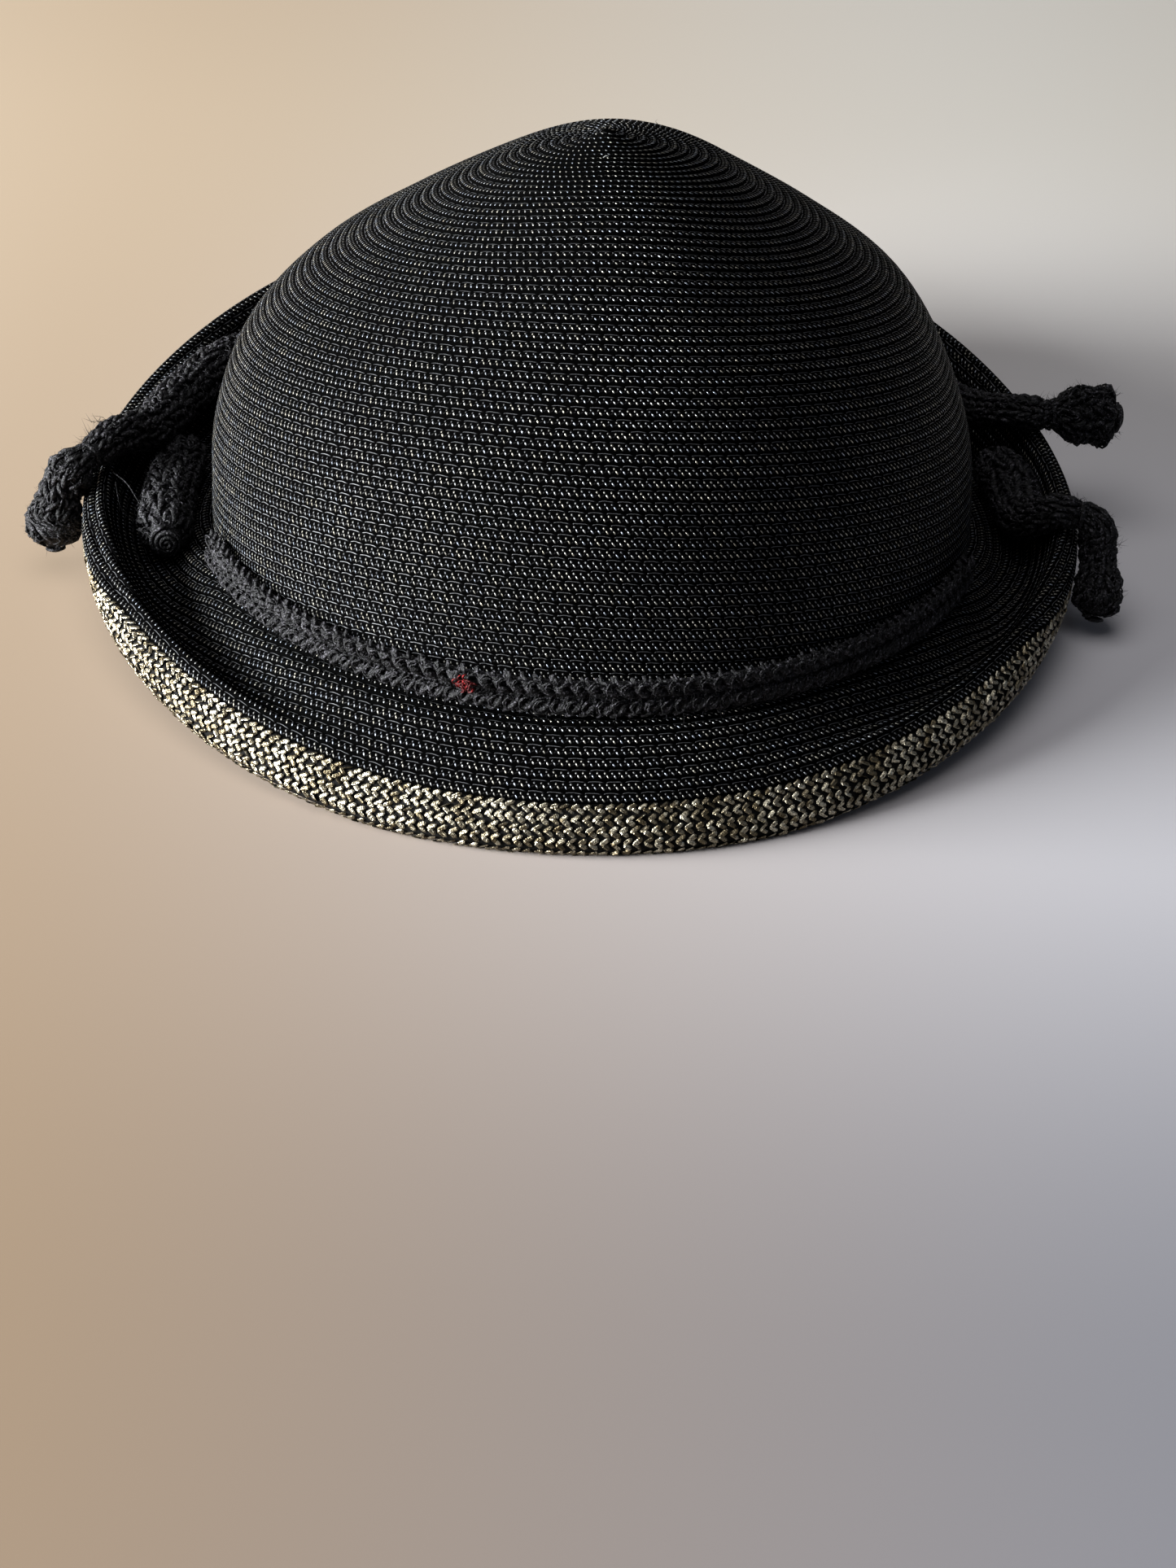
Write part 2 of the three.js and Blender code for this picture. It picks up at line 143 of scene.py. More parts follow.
# x, y, z in millimetres and girth of the cords' routes
FAR_CORD_ROUTE = np.array([
    (-106.0, -1.6, 23.6, 0.66), (-102.0, 5.0, 24.6, 0.76), (-95.8, 15.0, 21.8, 0.92), (-91.0, 33.0, 20.0, 1.00),
    (-82.0, 52.0, 20.0, 1.00), (-58.5, 77.0, 14.0, 0.94), (-31.0, 93.8, 8.4, 0.84), (2.4, 99.5, 7.0, 0.82),
    (35.0, 93.4, 8.4, 0.84), (62.0, 76.0, 13.4, 0.92), (80.0, 54.0, 16.0, 0.92), (89.0, 37.5, 20.2, 0.74),
    (97.0, 28.5, 24.6, 0.66), (104.8, 26.0, 25.4, 0.66),
])
LEFT_FINGER_ROUTE = np.array([
    (-88.2, 21.0, 13.8, 0.40), (-88.4, 19.0, 13.9, 0.74), (-89.0, 12.0, 14.2, 0.90), (-89.6, 1.0, 14.5, 0.98),
    (-89.4, -11.0, 14.7, 1.00), (-88.4, -18.0, 15.0, 0.96), (-87.8, -22.0, 15.0, 0.62),
])
RIGHT_FINGER_ROUTE = np.array([
    (91.5, 25.0, 13.8, 0.42), (92.6, 22.0, 14.1, 0.80), (95.0, 12.0, 14.8, 0.93), (95.8, 0.0, 15.2, 0.93),
    (96.6, -9.0, 18.0, 0.76), (102.4, -13.8, 23.0, 0.57), (106.6, -14.8, 22.6, 0.53),
])
LEFT_KNOB_ROUTE = np.array([
    (-105.8, -1.6, 23.6, 0.46), (-107.9, -3.4, 23.2, 0.56), (-110.0, -5.0, 21.4, 0.84), (-112.0, -6.4, 18.4, 0.72),
    (-113.0, -7.6, 15.0, 0.80), (-113.8, -8.6, 11.4, 1.00), (-114.0, -9.4, 7.8, 0.84), (-114.0, -9.8, 6.0, 0.40),
])
UPPER_KNOB_ROUTE = np.array([
    (103.6, 26.0, 25.4, 0.50), (106.3, 26.0, 25.4, 0.60), (107.8, 26.2, 25.3, 0.84), (110.4, 26.8, 25.0, 1.06),
    (114.0, 27.4, 24.6, 1.00), (117.0, 27.8, 24.2, 1.12), (118.6, 28.0, 24.0, 0.60),
])
LOWER_KNOB_ROUTE = np.array([
    (106.0, -14.8, 22.8, 0.44), (108.4, -15.2, 22.2, 0.50), (110.2, -16.0, 20.2, 0.62), (110.6, -17.2, 16.6, 0.64),
    (110.9, -19.4, 13.2, 0.62), (110.9, -23.0, 9.6, 0.82), (110.5, -25.4, 6.4, 0.80), (110.2, -26.2, 4.8, 0.40),
])

# The cords: name, node, route, radius, spacing of the stitches, seed
CORDS = (
    ("crochet_far_cord", "far_cord", FAR_CORD_ROUTE, CORD, CORD_PITCH, 21),
    ("crochet_left_finger", "left_finger", LEFT_FINGER_ROUTE, FINGER, CORD_PITCH, 22),
    ("crochet_right_finger", "right_finger", RIGHT_FINGER_ROUTE, FINGER, CORD_PITCH, 23),
    ("knot_left", "left_knob", LEFT_KNOB_ROUTE, KNOB, KNOT_PITCH, 24),
    ("knot_upper_right", "upper_right_knob", UPPER_KNOB_ROUTE, KNOB, KNOT_PITCH, 25),
    ("knot_lower_right", "lower_right_knob", LOWER_KNOB_ROUTE, KNOB, KNOT_PITCH, 26),
)

# Directions that a cord's and a thread's sides are turned from
CORD_UP, THREAD_UP = (0.13, 0.2, 0.97), (0.1, 0.2, 0.97)

# Loose yarn ends: millimetre points and a radius in metres. Tufts of fibres: place, way out, how many, how long
THREADS = (
    (((-101.0, -5.0, 21.5), (-97.5, -9.0, 21.0), (-94.5, -13.0, 18.5), (-92.5, -13.5, 15.5)), 0.00016),
    (((-100.5, -6.5, 20.0), (-98.0, -13.5, 16.5), (-94.0, -15.0, 15.0), (-91.5, -14.5, 16.0)), 0.00010),
    (((99.0, 27.5, 28.5), (95.0, 25.5, 28.0), (91.5, 23.5, 25.0), (90.5, 22.0, 22.0)), 0.00012),
    (((14.2, 28.9, 89.4), (14.4, 28.0, 90.6), (13.8, 27.4, 91.6), (14.3, 27.0, 92.4)), 0.00009),
)
TUFTS = (
    ((-105.8, -0.6, 27.0), (-0.8, -0.1, 0.9), 14, 0.0040), ((-104.6, 4.4, 28.4), (-0.9, 0.1, 0.5), 12, 0.0028),
    ((-112.5, -6.5, 20.0), (-0.7, 0.0, 0.8), 10, 0.0024), ((113.8, -17.5, 17.5), (0.9, 0.0, 0.4), 12, 0.0030),
    ((110.0, -14.0, 23.5), (0.6, 0.1, 0.8), 8, 0.0022), ((119.0, 27.6, 20.6), (0.7, -0.2, -0.5), 12, 0.0022),
    ((118.4, 28.0, 29.6), (0.5, 0.0, 0.9), 9, 0.0018), ((112.0, 27.0, 20.0), (-0.2, -0.1, -0.9), 8, 0.0016),
)
LINT_ROUTE = ((2.7, -6.0, 97.3), (3.2, -5.5, 97.55), (3.8, -5.3, 97.4))

# Points nearer than this become one
MERGE = 1e-6

# Tubes of one mesh are told apart by a number in their map, which goes up by the step and starts again at the span
SHADE_STEP, SHADE_SPAN = 7.31, 97

# Across one row, from the side of the tip to the side of the edge: share of the row, and how far it stands out
ROW_PHASES = np.array([0.00, 0.12, 0.36, 0.62, 0.84, 0.955])
ROW_RELIEF = np.array([-0.30, -0.20, 0.06, 0.24, 0.24, 0.08]) * 0.001
RELIEF_END = 0.6  # share of a row over which it dies away


def put(name, data):
    """A new object at the origin of the scene."""
    thing = bpy.data.objects.new(name, data)
    bpy.context.scene.collection.objects.link(thing)
    return thing


def put_camera():
    """Camera that sees a point just above the floor under the crown at a chosen pixel, rolled about its axis.
    The direction to the point is turned up and aside by that pixel's own angle from the middle."""
    width, height, focal = 1445, 1927, 3890.0
    pixel, point, film = (704.7, 601.3), (0, 0, 0.01765), 36
    elevation, distance, roll = math.radians(29.06), 0.693, math.radians(1.47)
    target = Vector(point) + Vector(CENTRING)
    place = target + distance * Vector((0, -math.cos(elevation), math.sin(elevation)))
    pitch = elevation - math.atan2(pixel[1] - height / 2, focal)
    yaw = math.atan2(pixel[0] - width / 2, focal)
    ahead = Vector((0, math.cos(pitch), -math.sin(pitch)))
    right = Vector((1, 0, 0))
    ahead, right = ahead * math.cos(yaw) - right * math.sin(yaw), right * math.cos(yaw) + ahead * math.sin(yaw)
    up = right.cross(ahead)
    right, up = right * math.cos(roll) + up * math.sin(roll), up * math.cos(roll) - right * math.sin(roll)
    data = bpy.data.cameras.new("camera")
    data.sensor_width = film
    data.lens = film * focal / height
    data.clip_start = 0.05
    camera = put("camera", data)
    camera.matrix_world = Matrix.Translation(place) @ Matrix((right, up, -ahead)).transposed().to_4x4()
    bpy.context.scene.camera = camera


put_camera()


# Shapes

def through(points, at):
    """Centripetal Catmull-Rom curve through points, whose first axis is the control number, at fractional numbers.
    Each control's slope mixes its two chords by the square roots of their lengths; between, a cubic joins them."""
    p = np.concatenate([2 * points[:1] - points[1:2], points, 2 * points[-1:] - points[-2:-1]])
    gap = np.maximum(np.linalg.norm(np.diff(p, axis=0), axis=-1, keepdims=True), 1e-9) ** 0.5
    before, here, after = gap[:-2], gap[1:-1], gap[2:]
    leave = ((p[1:-2] - p[:-3]) / before - (p[2:-1] - p[:-3]) / (before + here) + (p[2:-1] - p[1:-2]) / here) * here
    reach = ((p[2:-1] - p[1:-2]) / here - (p[3:] - p[1:-2]) / (here + after) + (p[3:] - p[2:-1]) / after) * here
    i = np.clip(at.astype(int), 0, len(points) - 2)
    w = (at - i).reshape((-1,) + (1,) * (points.ndim - 1))
    a, b, m, n = p[1:-2][i], p[2:-1][i], leave[i], reach[i]
    return a + w * (m + w * (3 * (b - a) - 2 * m - n + w * (2 * (a - b) + m + n)))


def unit(vectors):
    """Each vector over its own length."""
    return vectors / np.maximum(np.linalg.norm(vectors, axis=-1, keepdims=True), 1e-12)


def leaned(x, y, z):
    """From the crown's own axes to where it leans on the brim: moved aside, turned about X and lifted."""
    c, s = math.cos(CROWN_LEAN), math.sin(CROWN_LEAN)
    x, y, z = np.broadcast_arrays(x + CROWN_SHIFT, y, z)
    return np.stack([x, y * c + z * s, z * c - y * s + HEAD_LINE], -1) + CENTRING


def foot(angle, wall=0.0):
    """The crown's foot at an angle: an ellipse of half the width and half the length, less a wall."""
    return leaned((CROWN_WIDTH / 2 - wall) * np.cos(angle), (CROWN_LENGTH / 2 - wall) * np.sin(angle), 0.0)


class Sheet:
    """A surface as meridians, taken again at an even step of length down each, with unit normals.
    Its points are read at a distance down the meridian and a turn, in shares of the whole, by mixing four."""

    def __init__(self, points, step=0.00025, side=1):
        down = np.gradient(points, axis=0)
        aside = np.roll(points, -1, 1) - np.roll(points, 1, 1)
        normals = unit(np.cross(down, aside)) * side
        if np.ptp(points[0], axis=0).max() < 1e-9:
            normals[0] = unit(normals[1].mean(0))
        run = np.cumsum(np.linalg.norm(np.diff(points, axis=0), axis=-1), 0)
        run = np.concatenate([np.zeros_like(run[:1]), run])
        self.step, self.full, self.around = step, run[-1], points.shape[1]
        count = int(math.ceil(run[-1].max() / step)) + 2
        even = np.minimum(np.arange(count)[:, None] * step, run[-1])
        rows = np.arange(len(points))
        index = np.stack([np.interp(even[:, j], run[:, j], rows) for j in range(self.around)], 1)
        low = np.clip(index.astype(int), 0, len(points) - 2)
        mix = (index - low)[..., None]
        column = np.arange(self.around)
        self.points = points[low, column] * (1 - mix) + points[low + 1, column] * mix
        self.normals = unit(normals[low, column] * (1 - mix) + normals[low + 1, column] * mix)

    def length(self, turn):
        """Length of the meridian at a turn."""
        column = np.asarray(turn) % 1 * self.around
        low = column.astype(int) % self.around
        mix = column - column.astype(int)
        return self.full[low] * (1 - mix) + self.full[(low + 1) % self.around] * mix

    def at(self, distance, turn):
        """Points and normals at distances and turns."""
        distance, turn = np.broadcast_arrays(distance, turn)
        row = np.clip(distance, 0, self.length(turn)) / self.step
        down = np.clip(row.astype(int), 0, len(self.points) - 2)
        column = turn % 1 * self.around
        low = column.astype(int) % self.around
        a, b = (row - down)[..., None], (column - column.astype(int))[..., None]
        high = (low + 1) % self.around
        mixed = [
            (t[down, low] * (1 - a) + t[down + 1, low] * a) * (1 - b)
            + (t[down, high] * (1 - a) + t[down + 1, high] * a) * b
            for t in (self.points, self.normals)
        ]
        return mixed[0], unit(mixed[1])


def every(*ranges):
    """Each combination of the ranges' values, as one flat array for each range."""
    return (v.ravel() for v in np.meshgrid(*(np.array(r, int) for r in ranges), indexing="ij"))


def circle(count):
    """Even shares of a turn, from 0."""
    return np.arange(count) / count


def dome_sheet(count=256, samples=600):
    """Crown: at each section an ellipse of its share of half the width and half the length, moved aside and back,
    and tipped back in proportion to its rise."""
    at = np.linspace(0, len(CROWN_SECTIONS) - 1, samples)
    long, wide, rise = (row[:, None] for row in through(CROWN_SECTIONS[:, [1, 2, 0]], at).T)
    lean, back, _ = (row[:, None] for row in through(CROWN_SECTIONS[:, [3, 4, 0]], at).T)
    angle = 2 * np.pi * circle(count)
    y = CROWN_LENGTH / 2 * long * np.sin(angle) + CROWN_LENGTH * back
    return Sheet(leaned(
        CROWN_WIDTH / 2 * wide * np.cos(angle) + CROWN_WIDTH * lean, y,
        (CROWN_HEIGHT - y * math.tan(CROWN_TIP)) * rise))


def fold_meridians(count=512, samples=60):
    """Brim and edge: at each angle one smooth profile through the folds, which mix the near, side and far tables
    by how far round the angle is. Heights are shares of the head line's and of the section's own."""
    angle = 2 * np.pi * circle(count)
    turn = np.clip(np.sin(angle) / FLAT_SHARE, -1, 1)
    far, near = np.maximum(0, turn) ** SIDE_SPREAD, np.maximum(0, -turn) ** SIDE_SPREAD
    outline = np.stack([BRIM_WIDTH / 2 * np.cos(angle), BRIM_LENGTH / 2 * np.sin(angle)], -1) + CENTRING[:2]
    start = foot(angle)
    top = start[:, 2] - SEAM - WALL / 2
    reach, height = 0, 0
    parts = ((NEAR_FOLDS, near, 0.0), (SIDE_FOLDS, 1 - near - far, SIDE_HEIGHT), (FAR_FOLDS, far, FAR_HEIGHT))
    for folds, share, tall in parts:
        out, head, lift = (column[:, None] for column in folds.T)
        reach = reach + share * out
        height = height + share * (head * top + (1 - head) * (WALL / 2 + lift * max(0, tall - WALL / 2)))
    flat = start[:, :2] + reach[..., None] * (outline - start[:, :2])
    inner = np.concatenate([foot(angle, WALL)[:, :2], top[:, None]], -1)
    controls = np.concatenate([inner[None], np.concatenate([flat, height[..., None]], -1)])
    points = through(controls, np.linspace(0, len(controls) - 1, samples * (len(controls) - 1) + 1))
    points[..., 2] = np.maximum(points[..., 2], WALL / 2)
    return points[: samples * BRIM_FOLDS + 1], points[samples * BRIM_FOLDS:]


class Stitched:
    """Parts of one mesh: each is points, faces of one side count, and a place in the pattern for each corner."""

    def __init__(self):
        self.points, self.faces, self.places, self.count = [], [], [], 0

    def add(self, points, faces, places=None):
        """More points, and faces that count from the first of them."""
        points = np.asarray(points, float).reshape(-1, 3)
        self.points.append(points)
        self.faces.append(np.asarray(faces, int) + self.count)
        self.places.append(np.zeros(np.shape(faces) + (2,)) if places is None else places)
        self.count += len(points)

    def grid(self, points, places, closed=False, flipped=False):
        """Quads of a grid of points[k, j]. places has a place for each point, and one column more if closed."""
        rows, columns = points.shape[:2]
        k, j = every(range(rows - 1), range(columns if closed else columns - 1))
        corners = [(k, j), (k + 1, j), (k + 1, j + 1), (k, j + 1)][:: -1 if flipped else 1]
        faces = np.stack([a * columns + b % columns for a, b in corners], -1)
        self.add(points, faces, np.stack([places[a, b] for a, b in corners], 1))

    def build(self, name, material, slot, merge=None, smooth=True):
        """One object that rides on the hat."""
        mesh = bpy.data.meshes.new(name)
        points = np.concatenate(self.points)
        mesh.vertices.add(len(points))
        mesh.vertices.foreach_set("co", points.ravel())
        sizes = np.concatenate([np.full(len(f), f.shape[1]) for f in self.faces])
        mesh.loops.add(int(sizes.sum()))
        mesh.loops.foreach_set("vertex_index", np.concatenate([f.ravel() for f in self.faces]))
        mesh.polygons.add(len(sizes))
        mesh.polygons.foreach_set("loop_start", np.cumsum(sizes) - sizes)
        mesh.update(calc_edges=True)
        layer = mesh.uv_layers.new(name="braid")
        layer.data.foreach_set("uv", np.concatenate([p.reshape(-1) for p in self.places]))
        if merge:
            work = bmesh.new()
            work.from_mesh(mesh)
            bmesh.ops.remove_doubles(work, verts=work.verts, dist=merge)
            work.to_mesh(mesh)
            work.free()
        mesh.validate()
        mesh.polygons.foreach_set("use_smooth", np.full(len(mesh.polygons), smooth))
        mesh.materials.append(material)
        thing = put(name, mesh)
        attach(thing, "root")
        return thing


def along_row(points):
    """Running length round closed rows of points[r, j], with the whole length as one column more."""
    steps = np.linalg.norm(np.roll(points, -1, 1) - points, axis=-1)
    return np.concatenate([np.zeros_like(steps[:, :1]), np.cumsum(steps, 1)], 1)


def braid_rows(mesh, sheet, rows, pitch, stitch, distance, around, from_tip=False):
    """Lapped rows over a sheet: ring q of the rows lies at distance(q) down the sheet, moved out by the relief of
    its share of the row, which dies away where the sheet ends. Places are stitches along and rows across. From the
    tip the rows are one spiral: q grows by the turn, each row's end joins the next row's start, and a fan of
    triangles closes the tip."""
    phases = np.append((np.arange(rows)[:, None] + ROW_PHASES).ravel(), rows)
    turn = circle(around)
    spiral = turn if from_tip else 0 * turn
    down = distance(phases[:, None] + spiral)
    points, normals = sheet.at(down, turn)
    fade = np.clip((sheet.length(turn) - down) / (RELIEF_END * pitch), 0, 1)
    if from_tip:
        fade = fade * np.clip(down / pitch, 0, 1)
    relief = np.append(np.tile(ROW_RELIEF, rows), ROW_RELIEF[0])
    points = points + normals * (relief[:, None] * fade)[..., None]
    middles = sheet.at(distance(np.arange(rows)[:, None] + 0.5 + spiral), turn)[0]
    if from_tip:
        ends = np.concatenate([middles[1:, :1], middles[-1:, :1]])
        steps = np.linalg.norm(np.diff(np.concatenate([middles, ends], 1), axis=1), axis=-1)
        run = np.concatenate([np.zeros((rows, 1)), np.cumsum(steps, 1)], 1)
        run = (run + (np.cumsum(run[:, -1]) - run[:, -1])[:, None]) / stitch
    else:
        run = along_row(middles)
        run = run / run[:, -1:] * np.maximum(np.round(run[:, -1:] / stitch), 1)
    inside = len(ROW_PHASES)
    total = len(phases)
    k, j = every(range(total - 1), range(around))
    wrap = inside if from_tip else 0
    keep = (j < around - 1) | (k + 1 + wrap < total)
    k, j = k[keep], j[keep]

    def number(row, column):
        """The point at a row and column. Past the last column a ring starts again, or the spiral's next row."""
        last = column == around
        return (row + np.where(last, wrap, 0)) * around + np.where(last, 0, column)

    corners = [(k, j), (k + 1, j), (k + 1, j + 1), (k, j + 1)]
    faces = np.stack([number(a, b) for a, b in corners], -1)
    places = np.stack([np.stack([run[k // inside, b], phases[a]], -1) for a, b in corners], 1)
    mesh.add(points, faces, places)
    if from_tip:
        ring = np.append(np.arange(1, around), inside * around)
        fan = np.stack([np.zeros(around - 1, int), ring[:-1], ring[1:]], -1)
        slit = np.arange(inside, 1, -1) * around
        closing = np.stack([np.zeros(inside - 1, int), slit, slit - around], -1)
        mesh.add(points, np.concatenate([fan, closing]), np.zeros((around + inside - 2, 3, 2)))
    return points[-1], points[0]


def shell_side(sheet, distances, turn, offset, pitch, stitch, rows_at):
    """Plain side of a shell: the sheet's points at the distances, moved along the normals, and their places."""
    points, normals = sheet.at(distances, turn)
    points = points + normals * offset
    run = along_row(points) / stitch
    rows = rows_at(np.concatenate([distances, distances[:, :1]], 1)) / pitch
    return points, np.stack([run, np.broadcast_to(rows, run.shape)], -1)


def tubes(mesh, paths, radii, normals, sides=6, flat=1.0, phase=0.0):
    """Many tubes at once: a ring is the path's point plus radius times (cos a of the normal and sin a of the side),
    the side being along cross normal, flattened along the normal. A cap closes each end. The first corner of a
    ring is turned on from the normal by the phase, in sides."""
    along = unit(np.gradient(paths, axis=1))
    aside = unit(np.cross(along, normals))
    up = np.cross(aside, along)
    a = 2 * np.pi * (circle(sides) + phase / sides)[:, None]
    rings = paths[:, :, None] + radii[..., None, None] * (
        flat * np.cos(a) * up[:, :, None] + np.sin(a) * aside[:, :, None])
    count, steps = paths.shape[:2]
    s, p, i = every(range(count), range(steps - 1), range(sides))
    corners = [(p, i), (p, i + 1), (p + 1, i + 1), (p + 1, i)]
    faces = np.stack([(s * steps + q) * sides + b % sides for q, b in corners], -1)
    run = np.linalg.norm(np.diff(paths, axis=1), axis=-1).cumsum(1)
    run = np.concatenate([np.zeros((count, 1)), run], 1)
    shade = (np.arange(count) * SHADE_STEP) % SHADE_SPAN
    where = np.stack([np.stack([run[s, q] * 1000 + shade[s], b / sides], -1) for q, b in corners], 1)
    mesh.add(rings, faces, where)
    ring, first = np.arange(sides), np.arange(count)[:, None] * steps * sides
    caps = np.concatenate([first + ring[::-1], first + (steps - 1) * sides + ring])
    tone = np.stack([np.tile(shade, 2), np.zeros(2 * count)], -1)
    mesh.add([], caps - count * steps * sides, np.repeat(tone[:, None], sides, 1))


# Materials

class Value:
    """A shader socket that takes part in Python sums: each operator adds its Math node."""

    def __init__(self, finish, socket):
        self.finish, self.socket = finish, socket

    def math(self, operation, *others):
        node = self.finish.node("ShaderNodeMath", {"operation": operation}, dict(enumerate((self, *others))))
        return Value(self.finish, node.outputs[0])

    def __add__(self, other):
        return self.math("ADD", other)

    __radd__ = __add__

    def __mul__(self, other):
        return self.math("MULTIPLY", other)

    __rmul__ = __mul__

    def __sub__(self, other):
        return self.math("SUBTRACT", other)

    def __rsub__(self, other):
        return self * -1 + other

    def __truediv__(self, other):
        return self.math("DIVIDE", other)

    def __pow__(self, other):
        return self.math("POWER", other)

    def share(self):
        return self.math("FRACT")

    def whole(self):
        return self.math("FLOOR")

    def sine(self):
        return self.math("SINE")

    def size(self):
        return self.math("ABSOLUTE")

    def most(self, other):
        return self.math("MAXIMUM", other)

    def least(self, other):
        return self.math("MINIMUM", other)

    def ramp(self, low, high):
        """0 up to low, 1 from high, smooth between."""
        node = self.finish.node("ShaderNodeMapRange", {"interpolation_type": "SMOOTHSTEP"},
                                {"Value": self, "From Min": low, "From Max": high})
        return Value(self.finish, node.outputs[0])


class Finish:
    """A material under construction."""

    def __init__(self, name):
        self.material = bpy.data.materials.new(name)
        self.material.use_nodes = True
        self.tree = self.material.node_tree
        self.tree.nodes.clear()

    def node(self, kind, settings=None, sockets=None):
        """A node of a kind: its settings first, then the values or links of its sockets."""
        node = self.tree.nodes.new(kind)
        for key, value in (settings or {}).items():
            setattr(node, key, value)
        for key, value in (sockets or {}).items():
            if isinstance(value, Value):
                self.tree.links.new(value.socket, node.inputs[key])
            else:
                node.inputs[key].default_value = value
        return node

    def value(self, kind, settings=None, sockets=None, output=0):
        """What a new node gives out."""
        return Value(self, self.node(kind, settings, sockets).outputs[output])

    def two(self, place):
        """The first two coordinates of a place."""
        split = self.node("ShaderNodeSeparateXYZ", None, {0: place})
        return Value(self, split.outputs[0]), Value(self, split.outputs[1])

    def on_object(self):
        """The hat's own coordinates."""
        return self.value("ShaderNodeTexCoord", None, None, 3)

    def along_and_across(self):
        """The two coordinates of the braid's own map."""
        return self.two(self.value("ShaderNodeUVMap", {"uv_map": "braid"}))

    def chance(self, along, across, seed=0.0):
        """A number from 0 to 1 that is the same all over one cell."""
        cell = self.value("ShaderNodeCombineXYZ", None, {0: along, 1: across, 2: seed})
        return self.value("ShaderNodeTexWhiteNoise", {"noise_dimensions": "3D"}, {"Vector": cell})

    def cloud(self, scale, detail):
        """Noise on the hat's own coordinates."""
        sockets = {"Vector": self.on_object(), "Scale": scale, "Detail": detail}
        return self.value("ShaderNodeTexNoise", None, sockets)

    def mixed(self, share, first, second):
        """A colour mixed from two by a share."""
        sockets = {0: share, 6: first if isinstance(first, Value) else (*first, 1),
                   7: second if isinstance(second, Value) else (*second, 1)}
        return self.value("ShaderNodeMix", {"data_type": "RGBA"}, sockets, 2)

    def shader(self, **sockets):
        """Principled surface; a socket's spaces are written as underscores."""
        sockets = {key.replace("_", " "): value for key, value in sockets.items()}
        return self.value("ShaderNodeBsdfPrincipled", None, sockets)

    def finished(self, surface):
        """The material with its surface joined on."""
        self.node("ShaderNodeOutputMaterial", None, {0: surface})
        return self.material

    def bump(self, height, distance, strength):
        """Normals turned as by a height over a distance in metres."""
        return self.value("ShaderNodeBump", None, {"Height": height, "Distance": distance, "Strength": strength})

    def done(self, height, distance, strength, **sockets):
        """The material with one surface and a bump."""
        return self.finished(self.shader(Normal=self.bump(height, distance, strength), **sockets))


def oval(x, y, middle, slant, long, wide):
    """1 at the middle of a slanted oval and 0 outside it: one less the squared distance in its own axes.
    Lengths are in stitches along and rows across, turned to millimetres first."""
    x, y = (x - middle[0]) * (STITCH * 1000), (y - middle[1]) * (ROW * 1000)
    c, s = math.cos(math.radians(slant)), math.sin(math.radians(slant))
    a, b = (x * c + y * s) / long, (y * c - x * s) / wide
    return (1 - a * a - b * b).most(0.0)


def straw_finish():
    """Glossy black braid: in each row an upper line of round strand tops and a lower line of slanted ones, whose
    glints are painted into their colour as bright tinted spots, with painted shade as near-black pits between,
    under a sewing thread that lies in arcs on the row's upper side."""
    finish = Finish("black_straw_braid")
    along, across = finish.along_and_across()
    row = across.whole()
    wander = finish.cloud(700.0, 1.0) - 0.5
    y = across - row + wander * 0.10
    along = along + finish.chance(row, 3.0) + wander * 0.3
    cell = along.whole()
    x = along - cell
    luck, fate = finish.chance(cell, row, 1.0), finish.chance(cell, row, 2.0)
    lower = oval(x, y, *LOWER_STRAND)
    upper, crossed = (oval(x, y, *a).most(oval(x, y, *b)) for a, b in (UPPER_STRANDS, CROSSED_STRANDS))
    strands = lower.most(upper * 0.85).most(crossed * 0.16)

    lap = (along / THREAD_LAP + finish.chance(row, 5.0)).share()
    rise = (lap ** 0.62 * math.pi).sine()
    line = (y - THREAD_LINE + rise * THREAD_RISE).size()
    thread = (1 - line.ramp(*THREAD_EDGES)) * rise.ramp(0.15, 0.55)

    patch = finish.cloud(60.0, 1.0).ramp(0.42, 0.62)
    # Painted glints: the strand tops turn bright and tinted in their colour, dimmed at random strand by strand and
    # in patches
    lower_glints = lower ** 1.3 * (luck * 0.9 + 0.3)
    upper_glints = upper ** 1.3 * (fate * 0.6 + 0.05) * (patch * 0.75 + 0.25)
    glints = lower_glints.most(upper_glints).least(1.0)
    body = finish.mixed(finish.cloud(1800.0, 2.0), *STRAW_DARK)
    colour = finish.mixed(glints, body, finish.mixed(fate, *STRAW_PAINTED_GLINT))
    colour = finish.mixed(thread * 0.9, colour, SEWING_THREAD)
    bump = finish.bump(strands.most(thread * 0.7), 0.0004, 1.0)
    straw = finish.shader(Base_Color=colour, Roughness=0.48 - glints * 0.16, Metallic=glints * 0.85, Normal=bump,
                          Specular_IOR_Level=0.3)
    # Painted shade: where no strand or thread covers the row, a dull near-black surface stands for the shade in the
    # pits
    pit_shade = finish.shader(Base_Color=(*STRAW_PAINTED_PIT_SHADE, 1), Roughness=0.9, Specular_IOR_Level=0.01)
    cover = strands.ramp(0.02, 0.35).most(thread)
    return finish.finished(finish.value("ShaderNodeMixShader", None, {0: cover, 1: pit_shade, 2: straw}))


def gold_finish():
    """Flat metallic strands: colour turns from pale to deep gold strand by strand, with fine dark marks."""
    finish = Finish("metallic_gold_braid")
    along, _ = finish.along_and_across()
    luck = finish.chance((along / 1.6).whole(), 0.0, 2.0)
    fine = finish.cloud(3400.0, 2.0)
    colour = finish.mixed(luck ** 1.6, *METAL)
    colour = finish.mixed(fine.ramp(0.50, 0.60) * 0.85, colour, METAL_LINES)
    return finish.done(fine, 0.00025, 0.7, Base_Color=colour, Roughness=0.20 + fine * 0.20, Metallic=0.95)


def backing_finish():
    """Dark cloth behind the metallic strands, in two tones mixed by noise."""
    finish = Finish("edge_backing")
    grain = finish.cloud(1500.0, 3.0)
    colour = finish.mixed(grain, *BACKING_CLOTH)
    return finish.done(grain, 0.0003, 0.8, Base_Color=colour, Roughness=0.8, Specular_IOR_Level=0.1)


